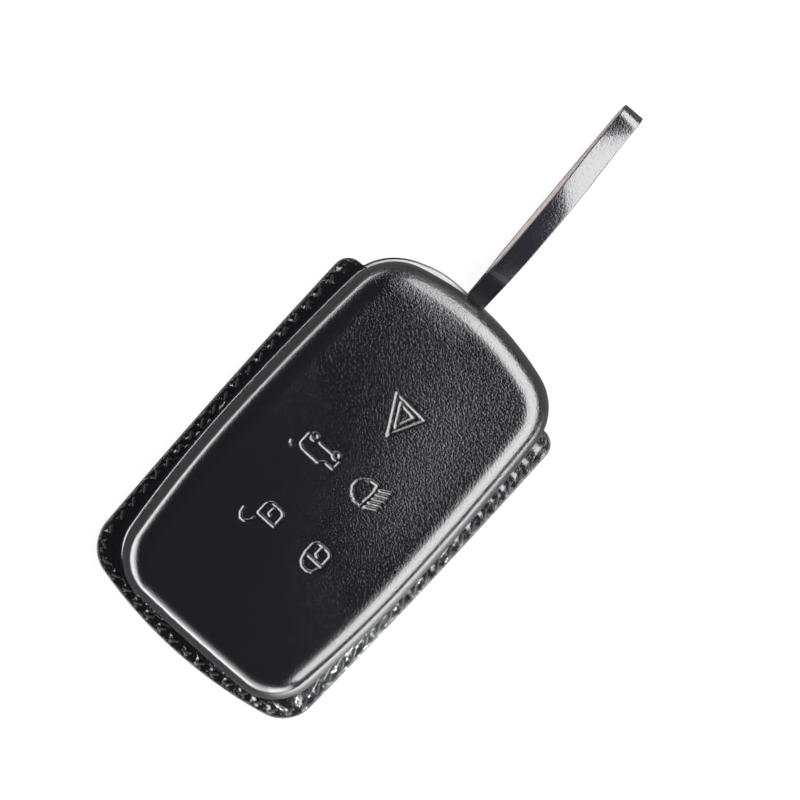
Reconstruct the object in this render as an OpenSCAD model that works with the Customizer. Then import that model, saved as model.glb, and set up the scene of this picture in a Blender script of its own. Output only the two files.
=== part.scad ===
// Moulded leather cover for a five button car key, with a carry loop.
// X runs across, Y runs along towards the mouth, and Z points out of the moulded front.
// The origin is the middle of the flat back, on the face that it rests on.

/* [Cover] */
// Length from the closed end to the mouth
cover_l = 96.8; // [88:0.1:120]
// Width of the moulding at its foot, at its widest line
mould_w = 52.9; // [46:0.1:60]
// Height of the crown over the resting face
crown_z = 18; // [15:0.1:26]
// How far the rim's widest line stands outside the moulding's on each side
side_rim_w = 3.85; // [3.6:0.05:6]
// Width of the sewn rim at the closed end
end_rim_w = 4.7; // [4:0.1:7]
// How far the sewn rim stops short of the mouth
rim_short = 9.6; // [9:0.1:14]
// Distance from the closed end to the moulding's widest line
mould_widest = 45.8; // [42:0.1:50]
// Distance from the closed end to the rim's widest line
rim_widest = 68; // [60:0.1:74]

/* [Outline] */
// Radius of the rim's corners at the closed end
rim_corner_r = 8.3; // [7:0.1:10]
// Radius of the rim's corners where it stops at the neck
rim_stop_r = 3.6; // [2:0.1:4]
// Radius of the moulding's corners at the closed end
closed_corner_r = 10.5; // [8:0.1:12]
// Radius of the moulding's corners at the mouth
mouth_corner_r = 11.5; // [8.5:0.1:12.5]

/* [Moulding] */
// Radius of the shoulder between the wall and the crown
shoulder_r = 6; // [4:0.1:6]
// How far the wall swells out from its foot to the shoulder
wall_swell = 0.5; // [0:0.1:1]
// Rise of the crown over its own edge
crown_rise = 0.8; // [0.2:0.1:1.6]
// Radius of the crease at the foot of the wall
foot_r = 1.2; // [0.5:0.1:1.6]
// How far the mouth's lip lies under the shoulder at its middle
lip_mid_drop = 0.4; // [0.4:0.1:2]
// How far the mouth's lip lies under the shoulder beside its corners
lip_side_drop = 1.2; // [0.6:0.1:3]

/* [Leather] */
// Thickness of the front leather
front_t = 1.2; // [0.9:0.1:1.4]
// Thickness of the board inside the front
front_board_t = 0.5; // [0.3:0.1:0.6]
// Thickness of the lining inside the front
front_lining_t = 0.4; // [0.3:0.1:0.5]
// Thickness of the back leather
back_t = 1.2; // [1:0.1:1.6]
// Thickness of the board inside the back
back_board_t = 0.5; // [0.3:0.1:0.8]
// Thickness of the lining on the back
back_lining_t = 0.4; // [0.3:0.1:0.6]
// How far the back leather passes the mouth's lip
back_lip = 0.9; // [0.5:0.1:1.2]
// How far the back lining passes the mouth's lip
lining_lip = 0.6; // [0.2:0.1:0.8]

/* [Seam] */
// Distance from one stitch to the next
stitch_pitch = 3.7; // [3:0.1:5]
// Gap between two stitches, where the needle went down
stitch_gap = 0.9; // [0.6:0.1:1.2]
// Thickness of the thread
thread_d = 0.7; // [0.4:0.05:0.75]
// Distance of the seam from the rim's edge
seam_inset = 1.5; // [1.2:0.1:1.7]
// Width of the groove that the stitches lie in
groove_w = 1; // [0.8:0.1:1.2]
// Depth of the groove on the front
front_groove_d = 0.4; // [0.2:0.05:0.6]

/* [Strap] */
// Width of the strap
strap_w = 4.7; // [4:0.1:8]
// Distance of the strap's middle from the cover's middle line
strap_side = -3.1; // [-8:0.1:8]
// Angle by which the strap leans away from straight
strap_lean = 2.5; // [0:0.5:3]
// Reach of the loop past the mouth
strap_reach = 53; // [45:1:70]
// Thickness of the strap's leather
strap_t = 0.9; // [0.8:0.1:1.2]
// Thickness of the strap's light inner ply
strap_lining_t = 0.6; // [0.4:0.1:0.8]
// Height of the arched leg over the resting face
arch_z = 13; // [11:0.5:18]
// Inner radius of the bend at the end of the loop
bend_r = 1.8; // [1.5:0.1:2.5]
// Length of the strap's ends on the pocket floor
root_l = 12; // [9:0.5:16]
// Running clearance between the ends and the swinging loop
strap_clear = 0.3; // [0.2:0.05:0.4]

/* [Hidden] */

black = [0.13, 0.13, 0.145];
thread_black = [0.07, 0.07, 0.08];
board_grey = [0.45, 0.42, 0.38];
lining_light = [0.86, 0.84, 0.8];

cut = 1;
seat = 0.03;
edge_round = 0.3;
board_clear = 0.3;
board_short = 1.2;
lip_board_short = 0.2;
bobbin_groove_d = thread_d + 2 * seat;

closed_y = -cover_l / 2;
mouth_y = cover_l / 2;
mould_wide_y = closed_y + mould_widest;
rim_wide_y = closed_y + rim_widest;
rim_stop_y = mouth_y - rim_short;
mould_closed_y = closed_y + end_rim_w;

back_top = back_t + back_lining_t;
floor_z = back_top + back_board_t;
shell_base = back_top + front_lining_t;
rim_top = shell_base + front_t;
crown_edge_z = crown_z - crown_rise;
shoulder_z = crown_edge_z - shoulder_r;
lip_mid_z = shoulder_z - lip_mid_drop;
lip_side_z = shoulder_z - lip_side_drop;
wall_t = front_t + front_board_t + front_lining_t;

// One quarter of an outline is a chain of tangent arcs: the end's, the corner's and the side's.
// It is given as reach, corner radius, and the angles that the end's and the side's arcs turn.
rim_low = [rim_widest, rim_corner_r, 13, 2];
mould_low = [mould_wide_y - mould_closed_y, closed_corner_r, 2, 7];
mould_up = [mouth_y - mould_wide_y, mouth_corner_r, 16.5, 3.5];

function reach(q) = q[0];
function corner_r(q) = q[1];
function end_turn(q) = q[2];
function side_turn(q) = q[3];

// The two long radii that make the chain as wide as half_w and as long as its reach.
function long_radii(q, half_w) =
  let (a = sin(end_turn(q)), b = 1 - cos(side_turn(q)))
  let (c = 1 - cos(end_turn(q)), d = sin(side_turn(q)))
  let (p = half_w - corner_r(q) * (cos(side_turn(q)) - a))
  let (s = reach(q) - corner_r(q) * (cos(end_turn(q)) - d))
  [(p * d - b * s) / (a * d - b * c), (a * s - c * p) / (a * d - b * c)];

// Middle of the corner's arc, measured in from the end.
function corner_middle(q, half_w) =
  let (end_r = long_radii(q, half_w)[0])
  [0, end_r] + (end_r - corner_r(q)) * [sin(end_turn(q)), -cos(end_turn(q))];

// A point of the chain where its outward normal is at phi from the end's, grown outwards by grow.
function chain_at(q, half_w, phi, grow = 0) =
  let (radii = long_radii(q, half_w))
  let (on_end = phi <= end_turn(q), on_side = phi >= 90 - side_turn(q))
  let (r = on_end ? radii[0] : on_side ? radii[1] : corner_r(q))
  let (c = on_end ? [0, radii[0]] : on_side ? [half_w - radii[1], reach(q)] : corner_middle(q, half_w))
  c + (r + grow) * [sin(phi), -cos(phi)];

function low_point(q, half_w, end_y, phi, grow = 0) =
  let (p = chain_at(q, half_w, phi, grow)) [p[0], end_y + p[1]];
function up_point(q, half_w, end_y, phi, grow = 0) =
  let (p = chain_at(q, half_w, phi, grow)) [p[0], end_y - p[1]];

end_steps = 4;
corner_steps = 6;
side_steps = 4;
stop_steps = 4;
neck_steps = 8;

function spread(from, to, steps) = [for (i = [0 : steps - 1]) from + (to - from) * i / steps];
function end_phis(q, steps = corner_steps) = concat(
  spread(0, end_turn(q), end_steps),
  spread(end_turn(q), 90 - side_turn(q), steps));
function side_phis(q) = spread(90 - side_turn(q), 90, side_steps);

// The rim: the chain round its closed end, then one long arc up its side to the round stop.
half_mould = mould_w / 2;
half_rim = half_mould + side_rim_w;
rim_side_r = long_radii(rim_low, half_rim)[1];
rim_stop_c = rim_stop_y - rim_stop_r;
rim_side_y = low_point(rim_low, half_rim, closed_y, 90 - side_turn(rim_low))[1];
function rim_end(grow = 0) = [for (phi = end_phis(rim_low)) low_point(rim_low, half_rim, closed_y, phi, grow)];
function rim_x(y, grow = 0) =
  half_rim - rim_side_r + grow + sqrt(pow(rim_side_r, 2) - pow(y - rim_wide_y, 2));
function rim_stop(a, grow = 0) =
  [rim_x(rim_stop_c) - rim_stop_r, rim_stop_c] + (rim_stop_r + grow) * [cos(a), sin(a)];

// Stations round the moulding: foot, its normal, rim, its normal, whether sewn, lip height, rim's share.
function foot(s) = s[0];
function foot_n(s) = s[1];
function rim(s) = s[2];
function rim_n(s) = s[3];
function sewn(s) = s[4];
function lip(s) = s[5];
function rim_share(s) = s[6];

up_side_r = long_radii(mould_up, half_mould)[1];
up_side_end = mould_wide_y + up_side_r * sin(side_turn(mould_up));
up_corner_y = mouth_y - corner_middle(mould_up, half_mould)[1];
function up_phi(y) = y < up_side_end
  ? 90 - asin((y - mould_wide_y) / up_side_r)
  : acos((y - up_corner_y) / mouth_corner_r);
function up_foot(phi) = up_point(mould_up, half_mould, mouth_y, phi);
function up_n(phi) = [sin(phi), cos(phi)];
function low_foot(phi) = low_point(mould_low, half_mould, mould_closed_y, phi);
function low_n(phi) = [sin(phi), -cos(phi)];
function ease(t) = (1 - cos(180 * t)) / 2;

neck_phi = up_phi(rim_stop_y + edge_round / 2);
mould_phis = end_phis(mould_low);
rim_phis = end_phis(rim_low);
low_side_phis = side_phis(mould_low);
low_side_ys = spread(rim_side_y, mould_wide_y, side_steps);
stop_full = rim_x(rim_stop_c) - up_foot(up_phi(rim_stop_c))[0];

end_stations = [for (i = [0 : len(mould_phis) - 1])
  [low_foot(mould_phis[i]), low_n(mould_phis[i]), rim_end()[i], low_n(rim_phis[i]), true, shell_base, 1]];
low_side_stations = [for (i = [0 : side_steps - 1]) let (phi = low_side_phis[i], y = low_side_ys[i])
  [low_foot(phi), low_n(phi), [rim_x(y), y], [1, 0], true, shell_base, 1]];
up_side_stations = [for (y = spread(mould_wide_y, rim_stop_c, side_steps))
  [up_foot(up_phi(y)), up_n(up_phi(y)), [rim_x(y), y], [1, 0], true, shell_base, 1]];
stop_stations = [for (i = [0 : stop_steps]) let (r = rim_stop(90 * i / stop_steps), f = up_foot(up_phi(r[1])))
  [f, up_n(up_phi(r[1])), r, [1, 0], true, shell_base, (r[0] - f[0]) / stop_full]];
neck_stations = [for (i = [0 : neck_steps - 1])
  let (t = i / neck_steps, phi = neck_phi + (end_turn(mould_up) - neck_phi) * t)
  [up_foot(phi), up_n(phi), up_foot(phi), [1, 0], false, shell_base + (lip_side_z - shell_base) * ease(t), 0]];
mouth_stations = [for (i = [0 : end_steps])
  let (t = i / end_steps, phi = end_turn(mould_up) * (1 - t))
  [up_foot(phi), up_n(phi), up_foot(phi), [1, 0], false, lip_side_z + (lip_mid_z - lip_side_z) * ease(t), 0]];

right_stations = concat(end_stations, low_side_stations, up_side_stations, stop_stations, neck_stations,
  mouth_stations);
function flip(p) = [-p[0], p[1]];
left_stations = [for (i = [len(right_stations) - 2 : -1 : 1]) let (s = right_stations[i])
  [flip(foot(s)), flip(foot_n(s)), flip(rim(s)), flip(rim_n(s)), sewn(s), lip(s), rim_share(s)]];
stations = concat(right_stations, left_stations);

function lift(p, z) = [p[0], p[1], z];
function toward(p, q, t) = p + (q - p) * t;

// Points of the moulding's surface, t under its outer face.
function swell(z) = let (u = (z - rim_top) / (shoulder_z - rim_top))
  wall_swell * (u <= 0 ? 0 : u >= 1 ? 1 : 1 - pow(1 - u, 2));
function wall_point(s, t, z) = lift(foot(s) + foot_n(s) * (swell(z) - t), z);
function shoulder_point(s, t, a) =
  lift(foot(s) + foot_n(s) * (wall_swell - shoulder_r + (shoulder_r - t) * cos(a)),
    shoulder_z + (shoulder_r - t) * sin(a));
function crown_point(s, t, share) =
  let (edge = foot(s) + foot_n(s) * (wall_swell - shoulder_r))
  lift(edge * share, crown_edge_z - t + crown_rise * ease(1 - share));
function crown_pole(t) = [0, 0, crown_z - t];

crown_shares = [0.3, 0.55, 0.8];
shoulder_angles = [90, 72, 54, 36, 18, 0];
inner_angles = [90, 67.5, 45, 22.5, 0];
function cap_rings(t, angles) = concat(
  [for (share = crown_shares) [for (s = stations) crown_point(s, t, share)]],
  [for (a = angles) [for (s = stations) shoulder_point(s, t, a)]]);
// One ring halfway down the wall, which is bowed. It ends a little above the lip's height.
function mid_wall(t, sewn_rise = 0, free_rise = 0) = [for (s = stations)
  wall_point(s, t, (shoulder_z + lip(s) + (sewn(s) ? sewn_rise : free_rise)) / 2)];
function backwards(list) = [for (i = [len(list) - 1 : -1 : 0]) list[i]];

// The rim's section at a station, from the foot of the wall out to the edge and round under it.
function rim_place(s, inset) = rim(s) - rim_n(s) * inset * rim_share(s);
function shell_rim(s) = sewn(s)
  ? let (r = foot_r * rim_share(s), d = rim_share(s) < 1 ? 0 : front_groove_d, half_g = groove_w / 2) [
    lift(foot(s), rim_top + r),
    lift(foot(s) + foot_n(s) * r * (1 - cos(45)), rim_top + r * (1 - sin(45))),
    lift(foot(s) + foot_n(s) * r, rim_top),
    lift(rim_place(s, seam_inset + half_g), rim_top),
    lift(rim_place(s, seam_inset + half_g), rim_top - d - seat),
    lift(rim_place(s, seam_inset - half_g), rim_top - d - seat),
    lift(rim_place(s, seam_inset - half_g), rim_top),
    lift(rim_place(s, edge_round), rim_top),
    lift(rim(s), rim_top - edge_round),
    lift(rim(s), shell_base)]
  : let (outer = wall_point(s, 0, lip(s)), inner = wall_point(s, front_t, lip(s)))
    [for (i = [0 : 9]) toward(outer, inner, i / 10)];
function lining_rim(s, t) = sewn(s)
  ? [lift(foot(s) - foot_n(s) * t, shell_base), lift(rim(s), shell_base), lift(rim(s), back_top)]
  : [wall_point(s, t, lip(s)),
    toward(wall_point(s, t, lip(s)), wall_point(s, wall_t, lip(s)), 1 / 3),
    toward(wall_point(s, t, lip(s)), wall_point(s, wall_t, lip(s)), 2 / 3)];

// A closed skin through rings of points, with a pole at each end.
module skin(first, rings, last) {
  n = len(stations);
  m = len(rings);
  points = concat([first], [for (ring = rings) for (p = ring) p], [last]);
  faces = concat(
    [for (i = [0 : n - 1]) [0, 1 + (i + 1) % n, 1 + i]],
    [for (j = [0 : m - 2]) for (i = [0 : n - 1])
      let (a = 1 + j * n + i, b = 1 + j * n + (i + 1) % n) each [[a, b + n, a + n], [a, b, b + n]]],
    [for (i = [0 : n - 1]) [1 + m * n, 1 + (m - 1) * n + i, 1 + (m - 1) * n + (i + 1) % n]]);
  polyhedron(points, faces);
}

function column(rows, j) = [for (row = rows) row[j]];

module front_shell() {
  rows = [for (s = stations) shell_rim(s)];
  color(black)
    skin(crown_pole(0), concat(
      cap_rings(0, shoulder_angles),
      [mid_wall(0, rim_top + foot_r - shell_base)],
      [for (j = [0 : 9]) column(rows, j)],
      [[for (s = stations) wall_point(s, front_t, lip(s))]],
      [mid_wall(front_t)],
      backwards(cap_rings(front_t, inner_angles))), crown_pole(front_t));
}

module shell_board() {
  inner_t = front_t + front_board_t;
  function board_z(s) = lip(s) + (sewn(s) ? 0 : lip_board_short);
  color(board_grey)
    skin(crown_pole(front_t), concat(
      cap_rings(front_t, inner_angles),
      [mid_wall(front_t, 0, lip_board_short),
        [for (s = stations) wall_point(s, front_t, board_z(s))],
        [for (s = stations) wall_point(s, inner_t, board_z(s))],
        mid_wall(inner_t, 0, lip_board_short)],
      backwards(cap_rings(inner_t, inner_angles))), crown_pole(inner_t));
}

module shell_lining() {
  outer_t = front_t + front_board_t;
  rows = [for (s = stations) lining_rim(s, outer_t)];
  color(lining_light)
    skin(crown_pole(outer_t), concat(
      cap_rings(outer_t, inner_angles),
      [mid_wall(outer_t)],
      [for (j = [0 : 2]) column(rows, j)],
      [[for (s = stations) sewn(s) ? lift(foot(s) - foot_n(s) * wall_t, back_top) : wall_point(s, wall_t, lip(s))]],
      [mid_wall(wall_t)],
      backwards(cap_rings(wall_t, inner_angles))), crown_pole(wall_t));
}

// Flat outlines: the sewn rim's pad, and the moulding's own outline grown by grow.
fine_steps = 12;
function fine_phis(q) = concat(end_phis(q, fine_steps), side_phis(q));
function both_sides(right) = concat(right, [for (p = backwards(right)) flip(p)]);
function rim_side(end_y, grow) = [for (y = spread(rim_side_y, end_y, 2 * side_steps)) [rim_x(y, grow), y]];

module pad(grow = 0) {
  polygon(both_sides(concat(rim_end(grow), rim_side(rim_stop_c, grow),
    [for (i = [0 : stop_steps]) rim_stop(90 * i / stop_steps, grow)])));
}

module mould_outline(grow = 0) {
  polygon(both_sides(concat(
    [for (phi = fine_phis(mould_low)) low_point(mould_low, half_mould, mould_closed_y, phi, grow)],
    [for (phi = backwards(fine_phis(mould_up))) up_point(mould_up, half_mould, mouth_y, phi, grow)])));
}

// The board under the pocket stays inside the moulding's walls and stops short of the mouth.
board_inset = wall_t + back_lining_t + board_clear;
module board_outline(grow = 0) {
  board_low = [reach(mould_low) - board_inset, closed_corner_r - board_inset, end_turn(mould_low),
    side_turn(mould_low)];
  board_up = [reach(mould_up) - board_short, mouth_corner_r - board_inset, end_turn(mould_up),
    side_turn(mould_up)];
  half_board = half_mould - board_inset;
  polygon(both_sides(concat(
    [for (phi = fine_phis(board_low))
      low_point(board_low, half_board, mould_closed_y + board_inset, phi, grow)],
    [for (phi = backwards(fine_phis(board_up)))
      up_point(board_up, half_board, mouth_y - board_short, phi, grow)])));
}

module back_panel() {
  color(black)
    difference() {
      linear_extrude(back_t)
        union() {
          pad();
          mould_outline(back_lip);
        }
      seam_groove();
      tack_groove();
    }
}

// The seam runs round the rim at one distance from its edge, and ends where the rim's stop begins.
function seam_side() = concat(rim_end(-seam_inset), rim_side(rim_stop_c, -seam_inset),
  [[rim_x(rim_stop_c, -seam_inset), rim_stop_c]]);
seam_path = concat(backwards(seam_side()), [for (p = seam_side()) flip(p)]);

module seam_band(grow) {
  polygon(both_sides(concat(rim_end(grow), rim_side(rim_stop_c, grow), [[rim_x(rim_stop_c, grow), rim_stop_c]])));
}

module seam_groove() {
  translate([0, 0, -cut])
    linear_extrude(cut + bobbin_groove_d)
      difference() {
        seam_band(groove_w / 2 - seam_inset);
        translate([0, seat])
          seam_band(-groove_w / 2 - seam_inset);
      }
}

// Lengths along a path, and the point and heading at a length.
function path_lengths(path) = [for (i = 0, sum = 0; i < len(path);
  sum = sum + (i < len(path) - 1 ? norm(path[i + 1] - path[i]) : 0), i = i + 1) sum];
function span_at(lengths, s) = max([for (i = [0 : len(lengths) - 2]) if (lengths[i] <= s) i]);
function point_at(path, lengths, s) =
  let (i = span_at(lengths, s))
  toward(path[i], path[i + 1], (s - lengths[i]) / max(seat, lengths[i + 1] - lengths[i]));
function heading_at(path, lengths, s) =
  let (i = span_at(lengths, s), d = path[i + 1] - path[i]) atan2(d[1], d[0]);

// One stitch: thread that is drawn in at both ends, where it goes down its needle holes.
module stitch(length) {
  r = thread_d / 2;
  rotate([0, 90, 0])
    translate([0, 0, -length / 2])
      rotate_extrude($fn = 24)
        polygon([[0, 0], [r / 2, 0], [r, r], [r, length - r], [r / 2, length], [0, length]]);
}

module seam_stitches(z) {
  lengths = path_lengths(seam_path);
  total = lengths[len(lengths) - 1];
  count = floor(total / stitch_pitch);
  start = (total - count * stitch_pitch) / 2;
  for (i = [0 : count - 1]) {
    s = start + (i + 1 / 2) * stitch_pitch;
    translate(lift(point_at(seam_path, lengths, s), z))
      rotate([0, 0, heading_at(seam_path, lengths, s)])
        stitch(stitch_pitch - stitch_gap);
  }
}

module needle_thread() {
  color(thread_black)
    seam_stitches(rim_top - front_groove_d + thread_d / 2);
}

module bobbin_thread() {
  color(thread_black)
    seam_stitches(seat + thread_d / 2);
}

module back_board() {
  color(board_grey)
    translate([0, 0, back_t])
      linear_extrude(back_board_t)
        board_outline();
}

module back_lining() {
  color(lining_light)
    difference() {
      union() {
        translate([0, 0, back_t])
          linear_extrude(back_lining_t)
            union() {
              pad();
              mould_outline(lining_lip);
            }
        translate([0, 0, back_t])
          linear_extrude(floor_z - back_t)
            board_outline(back_lining_t);
      }
      translate([0, 0, back_t - cut])
        linear_extrude(cut + back_board_t)
          board_outline();
    }
}

// The strap turns about a line just outside the mouth, at the middle of its two plies' thickness.
hinge_y = mouth_y + back_lip + strap_t + 2 * strap_clear;
hinge_z = floor_z + strap_t;
root_end_y = hinge_y - strap_t - strap_clear;
tip_d = mouth_y + strap_reach - hinge_y;
tip_r = bend_r + strap_lining_t;
low_h = strap_t - hinge_z;
peak_h = arch_z - strap_t - hinge_z;

flat_d = 3.4;
land_d = 12;
peak_d = 23;
bend_d = tip_d - tip_r - strap_t;
rise_pull = 11;
peak_pull = 9;
bend_pull = 10;
rise_angle = 42;
strap_steps = 10;
bend_steps = 10;

// The line between the strap's plies, out along the table, round the bend and back over the arch.
function curve_at(a, b, c, d, t) =
  a * pow(1 - t, 3) + 3 * b * t * pow(1 - t, 2) + 3 * c * t * t * (1 - t) + d * pow(t, 3);
function curve(a, b, c, d) = [for (i = [0 : strap_steps]) curve_at(a, b, c, d, i / strap_steps)];
low_leg = concat(
  curve([flat_d, 0], [(flat_d + land_d) / 2, 0], [(flat_d + land_d) / 2, low_h], [land_d, low_h]),
  [for (i = [0 : bend_steps]) let (a = 180 * i / bend_steps - 90)
    [bend_d, low_h + tip_r] + tip_r * [cos(a), sin(a)]]);
high_leg = concat(
  curve([bend_d, low_h + 2 * tip_r], [bend_d - bend_pull, low_h + 2 * tip_r],
    [peak_d + peak_pull, peak_h], [peak_d, peak_h]),
  curve([peak_d, peak_h], [peak_d - peak_pull, peak_h],
    [rise_pull * cos(rise_angle), rise_pull * sin(rise_angle)], [0, 0]));

function tidy(path) = [for (i = [0 : len(path) - 1]) if (i == 0 || norm(path[i] - path[max(0, i - 1)]) > seat) path[i]];
loop_path = tidy(concat([[0, 0]], low_leg, high_leg));
function side_dir(path, i) =
  let (d = path[min(len(path) - 1, i + 1)] - path[max(0, i - 1)]) [d[1], -d[0]] / norm(d);
function shifted(path, t) = [for (i = [0 : len(path) - 1]) path[i] + side_dir(path, i) * t];

module ply(path, outer, inner) {
  polygon(concat(shifted(path, outer), backwards(shifted(path, inner))));
}

// Stands a shape drawn in distance out and height up on the strap's middle line.
module on_strap(width) {
  translate([strap_side, hinge_y, hinge_z])
    rotate([0, 0, strap_lean])
      rotate([90, 0, 90])
        translate([0, 0, -width / 2])
          linear_extrude(width)
            children();
}

module strap_leather() {
  color(black)
    on_strap(strap_w)
      union() {
        circle(r = strap_t, $fn = 48);
        ply(loop_path, strap_t, 0);
      }
}

lining_start = 4;
lining_path = [for (p = loop_path) if (p[0] > lining_start) p];

module strap_lining() {
  color(lining_light)
    on_strap(strap_w)
      ply(lining_path, 0, -strap_lining_t);
}

module strap_root() {
  color(black)
    translate([strap_side, root_end_y, floor_z])
      rotate([0, 0, strap_lean])
        translate([-strap_w / 2, -root_l, 0])
          cube([strap_w, root_l, 2 * strap_t]);
}

// Two short rows of stitches hold the strap's ends to the floor.
tack_count = 3;
tack_pitch = 3;
tack_first = 2;
tack_side = strap_w / 2 - 1.2 * thread_d;
tack_z = floor_z + 2 * strap_t + seat + thread_d / 2;

module tack_rows(z) {
  for (side = [-1, 1])
    for (i = [0 : tack_count - 1])
      translate([strap_side, root_end_y, z])
        rotate([0, 0, strap_lean])
          translate([side * tack_side, -tack_first - (i + 1 / 2) * tack_pitch, 0])
            rotate([0, 0, 90])
              stitch(tack_pitch - stitch_gap);
}

module tack_groove() {
  for (side = [-1, 1])
    translate([strap_side, root_end_y, -cut])
      rotate([0, 0, strap_lean])
        translate([side * tack_side - groove_w / 2, -tack_first - tack_count * tack_pitch, 0])
          cube([groove_w, tack_count * tack_pitch, cut + bobbin_groove_d]);
}

module tack_thread() {
  color(thread_black) {
    tack_rows(tack_z);
    tack_rows(seat + thread_d / 2);
  }
}

front_shell();
shell_board();
shell_lining();
back_panel();
back_board();
back_lining();
needle_thread();
bobbin_thread();
strap_leather();
strap_lining();
strap_root();
tack_thread();
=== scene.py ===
# Leather cover for a car key, dressed for rendering: moulded front, lining, back, stitches and carry loop.
import bpy
import math
import numpy as np
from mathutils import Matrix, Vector


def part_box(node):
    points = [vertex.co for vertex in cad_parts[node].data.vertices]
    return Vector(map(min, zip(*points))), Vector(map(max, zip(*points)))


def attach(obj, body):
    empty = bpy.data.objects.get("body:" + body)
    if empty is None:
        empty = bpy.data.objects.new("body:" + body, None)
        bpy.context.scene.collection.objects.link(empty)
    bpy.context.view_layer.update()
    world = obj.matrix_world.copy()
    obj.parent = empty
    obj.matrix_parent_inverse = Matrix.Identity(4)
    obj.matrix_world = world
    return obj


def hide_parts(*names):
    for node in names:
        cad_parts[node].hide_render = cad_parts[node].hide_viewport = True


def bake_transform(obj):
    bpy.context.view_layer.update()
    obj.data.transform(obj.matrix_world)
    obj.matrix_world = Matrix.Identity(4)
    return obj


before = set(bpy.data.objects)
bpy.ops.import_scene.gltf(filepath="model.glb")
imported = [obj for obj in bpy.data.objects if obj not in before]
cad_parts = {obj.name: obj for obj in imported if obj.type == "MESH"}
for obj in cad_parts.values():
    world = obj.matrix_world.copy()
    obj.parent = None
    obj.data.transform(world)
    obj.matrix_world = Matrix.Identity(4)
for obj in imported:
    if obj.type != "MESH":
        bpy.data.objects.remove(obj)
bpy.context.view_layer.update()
mm = 0.001


# Node trees and plain meshes

class Wire:
    # one socket of a node tree, so that maths written on it adds Math nodes
    def __init__(self, graph, socket):
        self.graph = graph
        self.socket = socket

    def maths(self, operation, *values):
        return self.graph.node("ShaderNodeMath", {"operation": operation}, dict(enumerate(values)))

    def __add__(self, other):
        return self.maths("ADD", self, other)

    def __radd__(self, other):
        return self.maths("ADD", other, self)

    def __sub__(self, other):
        return self.maths("SUBTRACT", self, other)

    def __rsub__(self, other):
        return self.maths("SUBTRACT", other, self)

    def __mul__(self, other):
        return self.maths("MULTIPLY", self, other)

    def __rmul__(self, other):
        return self.maths("MULTIPLY", other, self)

    def __truediv__(self, other):
        return self.maths("DIVIDE", self, other)


def pick(sockets, key):
    return sockets[key] if isinstance(key, int) else next(s for s in sockets if s.name == key and s.enabled)


class Graph:
    # a node tree, filled by one method, and the few nodes that every kind of tree here uses
    def __init__(self, tree):
        self.tree = tree

    def node(self, kind, settings=None, sockets=None, out=0):
        made = self.tree.nodes.new(kind)
        for name, value in (settings or {}).items():
            setattr(made, name, value)
        for key, value in (sockets or {}).items():
            socket = pick(made.inputs, key)
            for one in value if isinstance(value, list) else [value]:
                if isinstance(one, Wire):
                    self.tree.links.new(one.socket, socket)
                else:
                    socket.default_value = one
        return None if out is None else Wire(self, pick(made.outputs, out))

    def outputs(self, wire):
        # every output of the node that a wire starts from
        return [Wire(self, socket) for socket in wire.socket.node.outputs]

    def split(self, vector):
        return self.outputs(self.node("ShaderNodeSeparateXYZ", {}, {0: vector}))

    def vector(self, x=0.0, y=0.0, z=0.0):
        return self.node("ShaderNodeCombineXYZ", {}, {0: x, 1: y, 2: z})

    def ramp(self, value, low, high, start=0.0, end=1.0):
        return self.node("ShaderNodeMapRange", {"interpolation_type": "SMOOTHSTEP"}, {
            "Value": value, "From Min": low, "From Max": high, "To Min": start, "To Max": end})


class Shader(Graph):
    # a material's tree, with patterns on the object's own coordinates in millimetres
    def __init__(self, name):
        self.material = bpy.data.materials.new(name)
        self.material.use_nodes = True
        super().__init__(self.material.node_tree)
        self.tree.nodes.clear()
        place = self.node("ShaderNodeTexCoord", {}, {}, "Object")
        self.place = self.node("ShaderNodeVectorMath", {"operation": "SCALE"},
                               {"Vector": place, "Scale": 1 / mm})

    def noise(self, scale, detail=2.0, roughness=0.5, place=None):
        return self.node("ShaderNodeTexNoise", {}, {
            "Vector": place or self.place, "Scale": scale, "Detail": detail, "Roughness": roughness})

    def cells(self, scale, place=None):
        return self.node("ShaderNodeTexVoronoi", {}, {
            "Vector": place or self.place, "Scale": scale}, "Distance")

    def stretched(self, turn, size):
        return self.node("ShaderNodeMapping", {"vector_type": "POINT"},
                         {"Vector": self.place, "Rotation": (0, 0, turn), "Scale": size})

    def mix(self, share, first, second):
        first, second = ((*c, 1) if isinstance(c, tuple) else c for c in (first, second))
        return self.node("ShaderNodeMix", {"data_type": "RGBA"}, {0: share, 6: first, 7: second}, 2)

    def attribute(self, name):
        return self.node("ShaderNodeAttribute", {"attribute_name": name}, {}, "Fac")

    def bump(self, height, depth):
        return self.node("ShaderNodeBump", {}, {"Height": height, "Distance": depth * mm})

    def surface(self, sockets):
        shader = self.node("ShaderNodeBsdfPrincipled", {}, sockets, "BSDF")
        self.node("ShaderNodeOutputMaterial", {}, {"Surface": shader}, None)
        return self.material


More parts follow.
